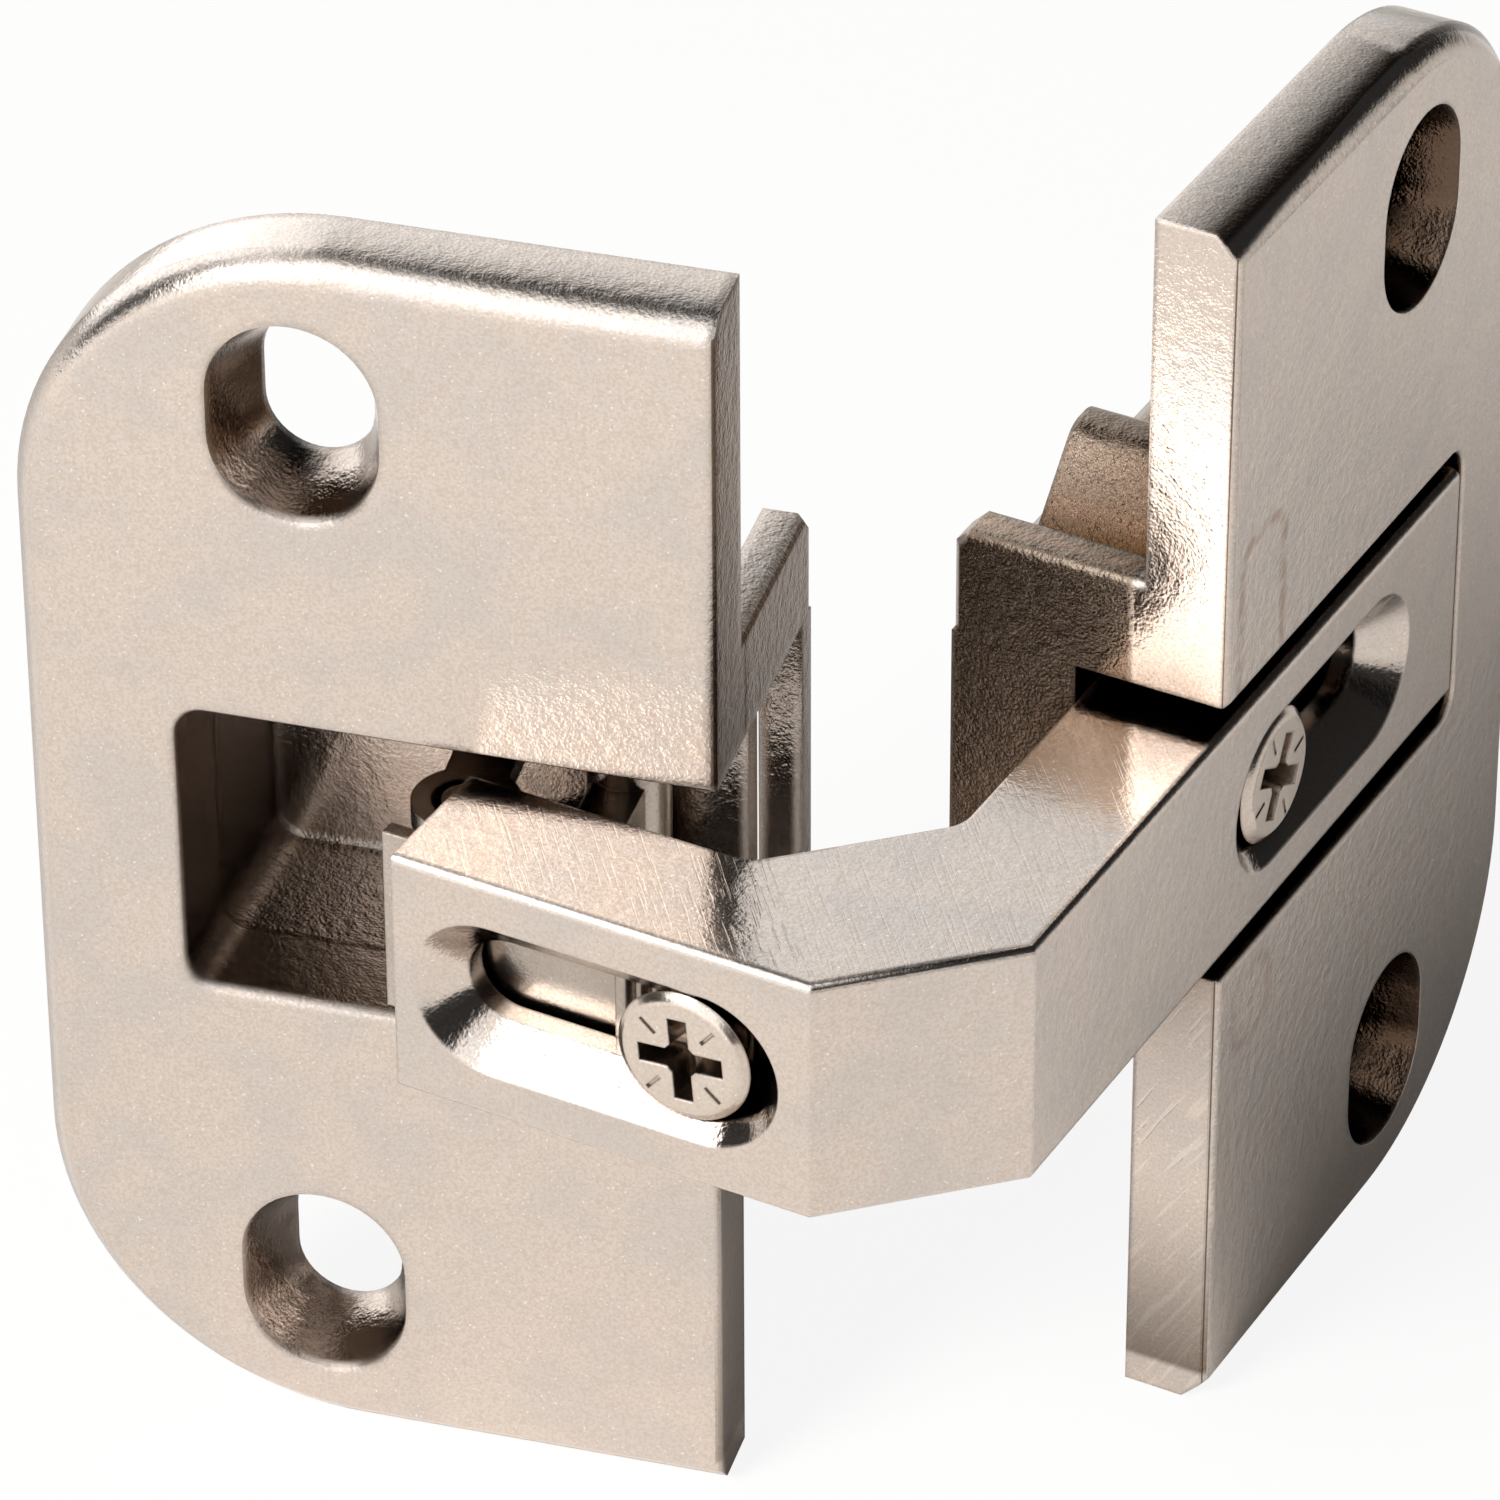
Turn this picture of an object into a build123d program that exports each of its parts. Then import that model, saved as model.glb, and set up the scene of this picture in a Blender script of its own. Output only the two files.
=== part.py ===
from build123d import *
from dataclasses import dataclass
from math import atan2, cos, degrees, radians, sin, sqrt
import os

# Leaf plates, one screwed to the back of each door
plate_height = 56.0
plate_width = 28.6
plate_thickness = 3.7
plate_corner_radius = 13.0
plate_edge_bevel = 1.1
plate_inner_bevel = 0.3
screw_spacing = 41.3
screw_inset = 16.8
screw_slot_length = 6.4
screw_slot_width = 4.6
screw_countersink = 1.2
screw_countersink_depth = 3.2

# Recess in a plate's front, which takes one end of the arm and its links
recess_length = 22.15
recess_height = 13.2
recess_corner_radius = 1.2
recess_rim = 0.2
pocket_depth = 10.9
end_wall_draft = 0.2
pocket_floor = 1.3
pocket_wall = 2.2
housing_back_bevel = 1.2

# Flange along a plate's inner edge, with the window that the arm passes through
flange_thickness = 1.8
flange_height = 22.8
right_flange_depth = 12.2
left_flange_depth = 13.8
left_window_depth = 12.4
window_clearance = 0.5
flange_corner_bevel = 0.7
flange_bevel = 0.35

# Boss on each side of the housing, round the ends of the link pins
boss_foot_before_pin = 2.6
boss_foot_after_pin = 2.4
boss_crest_after_pin = 1.1
boss_crest_before_pin = 2.2
boss_height = 25.8
boss_depth = 10.5
boss_round = 1.4

# Arm, a cast bar with two bends of 45 degrees
arm_height = 11.1
arm_thickness = 6.2
arm_wall = 1.2
arm_web = 2.6
arm_edge_round = 0.4
arm_end_gap = 0.3
long_leg = 16.5
short_leg = 18.35
bend_leg = 6.35
bend_web = 8.6
bend_inner_round = 1.6
channel_back = 3.2
slot_length = 16.2
slot_width = 7.0
slot_countersink = 1.65
slot_corner_margin = 4.4

# Clamp screw that holds each end of the arm on its carrier
clamp_to_tip = 16.25
short_leg_screw = 5.75
head_radius = 2.9
head_sink = 0.2
head_bevel = 0.5
head_rim = 0.35
shank_radius = 1.7
screw_tip_depth = 5.2
drive_width = 0.85
drive_heart = 1.5
drive_length = 3.7
drive_depth = 1.5
drive_taper = 8.0
drive_mark_width = 0.16
drive_mark_depth = 0.12
right_drive_turn = -27.0
left_drive_turn = 5.0

# Carrier, the toothed block behind the arm that the links are pinned to
carrier_base = 1.1
carrier_start = 2.9
carrier_step_start = 4.2
carrier_step = 0.35
carrier_boss = 5.2
tooth_pitch = 0.7
tooth_depth = 0.25
lug_thickness = 1.2
ear_bevel = 0.9
nose_reach = 1.5
nose_bevel = 1.15

# Links and pins, placed in the plate's frame with the arm folded flush into its recess
inner_pivot_to_recess_end = 16.21
inner_pivot_depth = 8.0
outer_pivot_to_recess_end = 11.29
outer_pivot_depth = 8.74
carrier_pivot_reach = 8.6
carrier_pivot_spacing = 4.4
carrier_pivot_depth = 6.5
pin_radius = 1.0
pin_length = 19.0
eye_radius = 1.75
open_eye_radius = 2.2
inner_link_width = 2.2
outer_link_width = 2.6
outer_link_thickness = 1.0
hub_end = 6.2

# Opening of the left side as it stands, and the swing of its inner link that goes with it
left_opening = 12.66
left_link_swing = 79.0

# Clearances
seat_gap = 0.02
running_gap = 0.05
side_gap = 0.2
open_pivot_gap = 0.4
cut_overrun = 3.0

# Sizes that follow from the ones above
clamp_seat = recess_length - arm_end_gap - clamp_to_tip
inner_pivot_inset = recess_length - inner_pivot_to_recess_end
outer_pivot_inset = recess_length - outer_pivot_to_recess_end
arm_half = arm_height / 2
channel_half = arm_half - arm_wall
housing_depth = pocket_depth + pocket_floor
housing_length = recess_length + pocket_wall
housing_height = recess_height + 2 * pocket_wall
right_window_depth = arm_thickness + window_clearance
outer_link_top = channel_half - side_gap
outer_link_base = outer_link_top - outer_link_thickness
lug_top = outer_link_base - side_gap
lug_base = lug_top - lug_thickness
inner_link_half = lug_base - side_gap
carrier_top = arm_web + seat_gap
carrier_underside = carrier_top + carrier_base
outer_pivot_reach = carrier_pivot_reach + carrier_pivot_spacing
bend_width = long_leg + bend_leg
slot_middle = slot_length / 2 - slot_corner_margin


@dataclass(frozen=True)
class Leg:
    """Axes at mid-height: x runs along a plate or an end of the arm, y out of its front."""

    origin: Vector
    along: Vector
    out: Vector

    def at(self, x: float, y: float) -> Vector:
        return self.origin + self.along * x + self.out * y

    def plan(self) -> Plane:
        return Plane(origin=self.origin, x_dir=self.along, z_dir=self.along.cross(self.out))

    def front(self, depth: float = 0.0) -> Plane:
        return Plane(origin=self.at(0, -depth), x_dir=self.along, z_dir=self.out)

    def out_axis(self) -> Axis:
        return Axis(self.origin, self.out)


def left_clamp_place() -> tuple[float, float]:
    """Where the left clamp screw stands in its plate's frame, from the swing of the inner link."""
    swing, opening = radians(left_link_swing), radians(left_opening)
    run = clamp_seat + carrier_pivot_reach - inner_pivot_inset
    rise = inner_pivot_depth - carrier_pivot_depth
    pivot_x = inner_pivot_inset + run * cos(swing) - rise * sin(swing)
    pivot_y = -inner_pivot_depth + run * sin(swing) + rise * cos(swing)
    x = pivot_x - carrier_pivot_reach * cos(opening) + carrier_pivot_depth * sin(opening)
    y = pivot_y + carrier_pivot_reach * sin(opening) + carrier_pivot_depth * cos(opening)
    return x, y


def make_left_leaf(end: Leg) -> Leg:
    """The left plate's axes, opened away from the arm's left end."""
    opening = radians(left_opening)
    along = end.along * cos(opening) + end.out * sin(opening)
    out = end.out * cos(opening) - end.along * sin(opening)
    x, y = left_clamp_place()
    return Leg(end.origin - along * x - out * y, along, out)


# The origin is on the right plate's seat, between its two screws
right_leaf = Leg(Vector(plate_thickness, -screw_inset, 0), Vector(0, 1, 0), Vector(1, 0, 0))
right_end = Leg(right_leaf.at(clamp_seat, 0), right_leaf.along, right_leaf.out)
left_end = Leg(
    right_leaf.at(-bend_width, -bend_leg - short_leg_screw), right_leaf.out * -1, right_leaf.along * -1
)
left_leaf = make_left_leaf(left_end)


def front_outline(plate: BuildPart, leaf: Leg) -> ShapeList[Edge]:
    """The edges of the plate's front face, from the inner one outwards."""
    front = plate.faces().sort_by(leaf.out_axis())[-1]
    return front.edges().sort_by(Axis(leaf.origin, leaf.along))


def recess_corners(plate: BuildPart, leaf: Leg) -> ShapeList[Edge]:
    """The two corners where the recess's sides meet its far end."""
    middle = leaf.at(recess_length - end_wall_draft / 2, -pocket_depth / 2)
    return plate.edges().sort_by_distance(middle + Vector(0, 0, recess_height / 2))[:1] + (
        plate.edges().sort_by_distance(middle - Vector(0, 0, recess_height / 2))[:1]
    )


def recess_mouth(plate: BuildPart, leaf: Leg) -> ShapeList[Edge]:
    """The edges of the recess in the plate's front face."""
    front = plate.faces().filter_by(leaf.out_axis()).sort_by(leaf.out_axis())[-1]
    reach = recess_height / 2 + seat_gap
    return front.edges().filter_by(
        lambda edge: abs(edge.center().Z) < reach
        and edge.bounding_box().max.Z < reach
        and edge.bounding_box().min.Z > -reach
    )


def flange_corners(plate: BuildPart, leaf: Leg, flange_depth: float) -> ShapeList[Edge]:
    """The two corners at the back of the flange."""
    middle = leaf.at(flange_thickness / 2, -flange_depth)
    return plate.edges().sort_by_distance(middle + Vector(0, 0, flange_height / 2))[:1] + (
        plate.edges().sort_by_distance(middle - Vector(0, 0, flange_height / 2))[:1]
    )


def flange_rim(plate: BuildPart, leaf: Leg) -> ShapeList[Edge]:
    """The outline of the flange's outer face, behind the plate."""
    outer = plate.faces().filter_by(Axis(leaf.origin, leaf.along)).sort_by(Axis(leaf.origin, leaf.along))[0]
    back = leaf.front(plate_thickness)
    return outer.edges().filter_by(lambda edge: back.to_local_coords(edge.center()).Z < -seat_gap)


def make_plate(leaf: Leg, window_depth: float, flange_depth: float) -> BuildPart:
    """One leaf plate: the plate, its housing, pin bosses and flange, cut by the recess, screws and pins."""
    with BuildPart() as plate:
        with BuildSketch(leaf.front()):
            with Locations((plate_width / 2, 0)):
                Rectangle(plate_width, plate_height)
            fillet(vertices().group_by(Axis.X)[-1], plate_corner_radius)
        extrude(amount=-plate_thickness)
        chamfer(front_outline(plate, leaf)[1:], plate_edge_bevel)
        chamfer(front_outline(plate, leaf)[0], plate_inner_bevel)

        with BuildSketch(leaf.front(plate_thickness)):
            with Locations((housing_length / 2, 0)):
                Rectangle(housing_length, housing_height)
        extrude(amount=plate_thickness - housing_depth)
        chamfer(plate.faces().sort_by(leaf.out_axis())[0].edges(), housing_back_bevel)

        with BuildSketch(leaf.front(plate_thickness)):
            with BuildLine():
                foot, crest = housing_height / 2, boss_height / 2
                Polyline(
                    (0, 0),
                    (0, foot),
                    (inner_pivot_inset - boss_foot_before_pin, foot),
                    (inner_pivot_inset + boss_crest_after_pin, crest),
                    (outer_pivot_inset - boss_crest_before_pin, crest),
                    (outer_pivot_inset + boss_foot_after_pin, foot),
                    (recess_length, foot),
                    (recess_length, 0),
                )
                mirror(about=Plane.XZ)
            make_face()
            slopes = vertices().filter_by(lambda v: inner_pivot_inset - cut_overrun < v.X < recess_length)
            fillet(slopes, boss_round)
        extrude(amount=plate_thickness - boss_depth)

        with BuildSketch(leaf.front(plate_thickness)):
            with Locations((flange_thickness / 2, 0)):
                Rectangle(flange_thickness, flange_height)
        extrude(amount=plate_thickness - flange_depth)
        chamfer(flange_corners(plate, leaf, flange_depth), flange_corner_bevel)
        chamfer(flange_rim(plate, leaf), flange_bevel)

        with BuildSketch(leaf.plan()):
            with BuildLine():
                Polyline(
                    (-cut_overrun, 0),
                    (recess_length, 0),
                    (recess_length - end_wall_draft, -pocket_depth),
                    (-cut_overrun, -pocket_depth),
                    close=True,
                )
            make_face()
        extrude(amount=recess_height / 2, both=True, mode=Mode.SUBTRACT)
        fillet(recess_corners(plate, leaf), recess_corner_radius)
        chamfer(recess_mouth(plate, leaf), recess_rim)

        with BuildSketch(leaf.front()):
            with Locations((0, 0)):
                Rectangle(2 * flange_thickness, recess_height)
        extrude(amount=-window_depth, mode=Mode.SUBTRACT)
        with BuildSketch(leaf.front(window_depth)):
            with Locations((flange_thickness / 2, 0)):
                Rectangle(flange_thickness, recess_height)
        extrude(amount=window_depth - flange_depth)

        with BuildSketch(leaf.front()):
            with Locations((screw_inset, -screw_spacing / 2), (screw_inset, screw_spacing / 2)):
                SlotOverall(
                    screw_slot_length + 2 * screw_countersink,
                    screw_slot_width + 2 * screw_countersink,
                    rotation=90,
                )
        slope = degrees(atan2(screw_countersink, screw_countersink_depth))
        extrude(amount=-screw_countersink_depth, taper=slope, mode=Mode.SUBTRACT)
        with BuildSketch(leaf.front()):
            with Locations((screw_inset, -screw_spacing / 2), (screw_inset, screw_spacing / 2)):
                SlotOverall(screw_slot_length, screw_slot_width, rotation=90)
        extrude(amount=-plate_thickness, mode=Mode.SUBTRACT)

        with BuildSketch(leaf.plan()):
            with Locations(
                (inner_pivot_inset, -inner_pivot_depth), (outer_pivot_inset, -outer_pivot_depth)
            ):
                Circle(pin_radius + seat_gap)
        extrude(amount=pin_length / 2 + seat_gap, both=True, mode=Mode.SUBTRACT)
    return plate


def arm_front_edges(arm: BuildPart) -> ShapeList[Edge]:
    """The long edges above and below the arm's front, from one end round both bends to the other."""
    plan = right_leaf.plan()

    def in_front(edge: Edge) -> bool:
        middle = plan.to_local_coords(edge.center())
        behind = min(-middle.Y, bend_width + middle.X, (middle.X - middle.Y + long_leg) / sqrt(2))
        return behind < seat_gap

    return arm.faces().filter_by(Plane.XY).edges().filter_by(in_front)


def make_arm() -> BuildPart:
    """The bent arm, with a countersunk slot in front and a channel behind at each end."""
    web_offset = bend_web / sqrt(2)
    inner_face = arm_thickness - bend_width
    arm_end = recess_length - arm_end_gap
    left_tip = -bend_leg - short_leg
    first_bend = (-long_leg, 0)
    second_bend = (-bend_width, -bend_leg)
    inner_first = (2 * web_offset - long_leg - arm_thickness, -arm_thickness)
    inner_second = (inner_face, inner_face + long_leg - 2 * web_offset)
    with BuildPart() as arm:
        with BuildSketch(right_leaf.plan()):
            with BuildLine():
                Polyline(
                    (arm_end, 0),
                    first_bend,
                    second_bend,
                    (-bend_width, left_tip),
                    (inner_face, left_tip),
                    inner_second,
                    inner_first,
                    (arm_end, -arm_thickness),
                    close=True,
                )
            make_face()
            for corner in (inner_first, inner_second):
                fillet(vertices().sort_by_distance(corner)[0], bend_inner_round)
        extrude(amount=arm_half, both=True)
        fillet(arm_front_edges(arm), arm_edge_round)

        for end in (right_end, left_end):
            with BuildSketch(end.plan()):
                with Locations((-channel_back, -arm_web)):
                    Rectangle(recess_length, housing_depth, align=(Align.MIN, Align.MAX))
            extrude(amount=channel_half, both=True, mode=Mode.SUBTRACT)
            with BuildSketch(end.front()):
                with Locations((slot_middle, 0)):
                    SlotOverall(slot_length, slot_width)
            extrude(amount=-slot_countersink, taper=45, mode=Mode.SUBTRACT)
            with BuildSketch(end.front()):
                with Locations((slot_middle, 0)):
                    SlotOverall(slot_length - 2 * slot_countersink, slot_width - 2 * slot_countersink)
            extrude(amount=-arm_web - seat_gap, mode=Mode.SUBTRACT)
    return arm


def make_carrier(end: Leg) -> BuildPart:
    """The block clamped behind one end of the arm, with teeth, a screw boss, two pin ears and a nose."""
    carrier_end = outer_pivot_reach + eye_radius
    with BuildPart() as carrier:
        with BuildSketch(end.plan()):
            with Locations((-carrier_start, -carrier_top)):
                Rectangle(carrier_start + carrier_end, carrier_base, align=(Align.MIN, Align.MAX))
        extrude(amount=outer_link_top, both=True)
        with BuildSketch(end.plan()):
            with Locations((carrier_step_start, -carrier_top)):
                Rectangle(carrier_end, carrier_step, align=(Align.MIN, Align.MAX))
            teeth = int((carrier_start + carrier_step_start) / tooth_pitch)
            with Locations(*[(carrier_step_start - n * tooth_pitch, -carrier_top) for n in range(1, teeth)]):
                RegularPolygon(tooth_depth, 4)
        extrude(amount=outer_link_top, both=True, mode=Mode.SUBTRACT)

        with BuildSketch(end.front(carrier_underside)):
            Rectangle(carrier_boss, carrier_boss)
        extrude(amount=carrier_underside - screw_tip_depth)

        ear_foot = -carrier_top - carrier_step
        ear_depth = carrier_pivot_depth + eye_radius + ear_foot
        for side in (-1, 1):
            with BuildSketch(end.plan().offset(side * (lug_base + lug_thickness / 2))):
                with Locations((carrier_pivot_reach, ear_foot)):
                    Rectangle(2 * eye_radius, ear_depth, align=(Align.CENTER, Align.MAX))
                chamfer(vertices().group_by(Axis.Y)[0], ear_bevel)
            extrude(amount=lug_thickness / 2, both=True)
        with BuildSketch(end.plan()):
            with Locations((outer_pivot_reach, ear_foot)):
                nose_depth = carrier_pivot_depth + nose_reach + ear_foot
                Rectangle(2 * nose_reach, nose_depth, align=(Align.CENTER, Align.MAX))
            chamfer(vertices().group_by(Axis.Y)[0], nose_bevel)
        extrude(amount=lug_top, both=True)

        with BuildSketch(end.front()):
            Circle(shank_radius + seat_gap)
        extrude(amount=-screw_tip_depth - seat_gap, mode=Mode.SUBTRACT)
        with BuildSketch(end.plan()):
            with Locations(
                (carrier_pivot_reach, -carrier_pivot_depth), (outer_pivot_reach, -carrier_pivot_depth)
            ):
                Circle(pin_radius + seat_gap)
        extrude(amount=lug_top, both=True, mode=Mode.SUBTRACT)
    return carrier


def make_clamp_screw(end: Leg, drive_turn: float) -> BuildPart:
    """A countersunk screw with a cross drive, lying in the arm's slot."""
    cone_end = head_sink + head_rim + head_radius - shank_radius
    with BuildPart() as screw:
        with BuildSketch(end.plan()):
            with BuildLine():
                Polyline(
                    (0, -head_sink),
                    (head_radius - head_bevel, -head_sink),
                    (head_radius, -head_sink - head_rim),
                    (shank_radius, -cone_end),
                    (shank_radius, -screw_tip_depth),
                    (0, -screw_tip_depth),
                    close=True,
                )
            make_face()
        revolve(axis=end.out_axis())
        with BuildSketch(end.front(head_sink)):
            Rectangle(drive_length, drive_width, rotation=drive_turn)
            Rectangle(drive_width, drive_length, rotation=drive_turn)
            Rectangle(drive_heart, drive_heart, rotation=45 + drive_turn)
        extrude(amount=-drive_depth, taper=drive_taper, mode=Mode.SUBTRACT)
        with BuildSketch(end.front(head_sink)):
            with PolarLocations(drive_length / 2, 4, start_angle=45 + drive_turn):
                Rectangle(drive_width, drive_mark_width)
        extrude(amount=-drive_mark_depth, mode=Mode.SUBTRACT)
    return screw


def make_inner_link(leaf: Leg, end: Leg) -> BuildPart:
    """The single link, with a long barrel on the housing pin and an eye between the carrier's ears."""
    root = leaf.at(inner_pivot_inset, -inner_pivot_depth)
    tip = end.at(carrier_pivot_reach, -carrier_pivot_depth)
    span = (tip - root).length
    level = Plane(origin=root, x_dir=tip - root, z_dir=(0, 0, 1))
    with BuildPart() as link:
        with BuildSketch(level):
            with Locations((span / 2, 0)):
                Rectangle(span, inner_link_width)
            with Locations((span, 0)):
                Circle(eye_radius)
        extrude(amount=inner_link_half, both=True)
        with BuildSketch(level):
            Circle(eye_radius)
        extrude(amount=outer_link_top, both=True)
        with BuildSketch(level):
            with Locations((0, 0), (span, 0)):
                Circle(pin_radius + running_gap)
        extrude(amount=outer_link_top, both=True, mode=Mode.SUBTRACT)
    return link


def make_outer_link(leaf: Leg, end: Leg, side: int) -> BuildPart:
    """One of the two link plates beside the carrier's ears, with a hub on its housing pin."""
    root = leaf.at(outer_pivot_inset, -outer_pivot_depth)
    tip = end.at(outer_pivot_reach, -carrier_pivot_depth)
    span = (tip - root).length
    lift = Vector(0, 0, side * outer_link_base)
    level = Plane(origin=root + lift, x_dir=tip - root, z_dir=(0, 0, side))
    with BuildPart() as link:
        with BuildSketch(level):
            with Locations((span / 2, 0)):
                Rectangle(span, outer_link_width)
            with Locations((span, 0)):
                Circle(open_eye_radius)
        extrude(amount=outer_link_thickness)
        with BuildSketch(level):
            Circle(eye_radius)
        extrude(amount=hub_end - outer_link_base)
        with BuildSketch(level):
            Circle(pin_radius + running_gap)
            with Locations((span, 0)):
                Circle(pin_radius + open_pivot_gap)
        extrude(amount=hub_end - outer_link_base, mode=Mode.SUBTRACT)
    return link


def make_pin(place: Vector, low: float, high: float) -> BuildPart:
    """A plain upright pin between two heights."""
    with BuildPart() as pin:
        with BuildSketch(Plane(origin=place + Vector(0, 0, low))):
            Circle(pin_radius)
        extrude(amount=high - low)
    return pin


os.makedirs("parts", exist_ok=True)


def save(piece: BuildPart, name: str) -> None:
    """Labels a piece and writes its file."""
    piece.part.label = name
    export_step(piece.part, f"parts/{name}.step")


save(make_arm(), "arm")
save(make_plate(right_leaf, right_window_depth, right_flange_depth), "right_plate")
save(make_plate(left_leaf, left_window_depth, left_flange_depth), "left_plate")

for hand, leaf, end, drive_turn in (
    ("right", right_leaf, right_end, right_drive_turn),
    ("left", left_leaf, left_end, left_drive_turn),
):
    inner_root = leaf.at(inner_pivot_inset, -inner_pivot_depth)
    outer_root = leaf.at(outer_pivot_inset, -outer_pivot_depth)
    inner_tip = end.at(carrier_pivot_reach, -carrier_pivot_depth)
    outer_tip = end.at(outer_pivot_reach, -carrier_pivot_depth)
    save(make_carrier(end), f"{hand}_carrier")
    save(make_clamp_screw(end, drive_turn), f"{hand}_clamp_screw")
    save(make_inner_link(leaf, end), f"{hand}_inner_link")
    save(make_outer_link(leaf, end, 1), f"{hand}_outer_link_upper")
    save(make_outer_link(leaf, end, -1), f"{hand}_outer_link_lower")
    save(make_pin(inner_root, -pin_length / 2, pin_length / 2), f"{hand}_inner_housing_pin")
    save(make_pin(outer_root, outer_link_base, pin_length / 2), f"{hand}_outer_housing_pin_upper")
    save(make_pin(outer_root, -pin_length / 2, -outer_link_base), f"{hand}_outer_housing_pin_lower")
    save(make_pin(inner_tip, -lug_top, lug_top), f"{hand}_inner_carrier_pin")
    save(make_pin(outer_tip, -outer_link_top, outer_link_top), f"{hand}_outer_carrier_pin")
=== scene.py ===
"""Dresses the pie cut corner hinge in its plated finishes and sets it in a plain studio."""

import logging
from dataclasses import dataclass
from enum import Enum
from math import radians

import bpy
from mathutils import Matrix, Vector


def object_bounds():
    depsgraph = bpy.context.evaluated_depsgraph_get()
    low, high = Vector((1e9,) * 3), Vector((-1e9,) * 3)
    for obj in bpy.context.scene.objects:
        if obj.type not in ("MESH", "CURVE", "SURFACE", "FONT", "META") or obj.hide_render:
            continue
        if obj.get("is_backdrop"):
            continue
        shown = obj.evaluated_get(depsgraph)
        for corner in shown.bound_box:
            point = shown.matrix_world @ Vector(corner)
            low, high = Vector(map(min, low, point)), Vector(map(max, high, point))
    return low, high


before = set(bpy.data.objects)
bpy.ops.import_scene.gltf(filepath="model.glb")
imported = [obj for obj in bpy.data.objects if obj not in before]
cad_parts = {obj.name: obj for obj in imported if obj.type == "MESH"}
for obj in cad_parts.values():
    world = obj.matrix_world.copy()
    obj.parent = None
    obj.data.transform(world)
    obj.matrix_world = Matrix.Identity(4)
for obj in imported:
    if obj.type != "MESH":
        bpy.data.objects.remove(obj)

LOG = logging.getLogger("corner_hinge")
MILLIMETRE = 0.001
Triple = tuple[float, float, float]
Span = tuple[float, float]
Socket = bpy.types.NodeSocket

# Ways in the part's frame, each of length one
RIGHT_FRONT: Triple = (1.0, 0.0, 0.0)
LEFT_FRONT: Triple = (0.219165, -0.975688, 0.0)
LEFT_INWARD: Triple = (0.975688, 0.219165, 0.0)
ARM_LEFT_FRONT: Triple = (0.0, -1.0, 0.0)
BEND_FRONT: Triple = (0.707107, -0.707107, 0.0)
UPWARD: Triple = (0.0, 0.0, 1.0)

# Colours of the plating and of what lies on it, and of the painted shade and painted glints laid over it
NICKEL: Triple = (0.70, 0.63, 0.575)
NICKEL_CLOUD: Triple = (0.635, 0.592, 0.560)
NICKEL_FLECK: Triple = (0.56, 0.46, 0.38)
# Near-white specks laid into the colour as painted glints
PAINTED_GLINT: Triple = (0.93, 0.90, 0.85)
SCRATCH: Triple = (0.86, 0.80, 0.72)
STAIN: Triple = (0.42, 0.30, 0.23)
# Painted shade for the casting's shadowed back
BACK_SHADE: Triple = (0.25, 0.19, 0.14)
# Painted shade for an end face, a painted dark reflection
END_SHADE: Triple = (0.15, 0.09, 0.05)
# Near-black painted shade for deep corners, recesses and countersink walls
PAINTED_SHADE: Triple = (0.060, 0.026, 0.007)


class Hand(Enum):
    """The two sides of the hinge."""

    RIGHT = "right"
    LEFT = "left"


class Axis(Enum):
    """The axes of the part's frame, as the nodes name them."""

    ACROSS = "X"
    ALONG = "Y"
    UP = "Z"


def metres(*millimetres: float) -> tuple[float, ...]:
    """Gives lengths in metres from millimetres."""
    return tuple(length * MILLIMETRE for length in millimetres)


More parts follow.
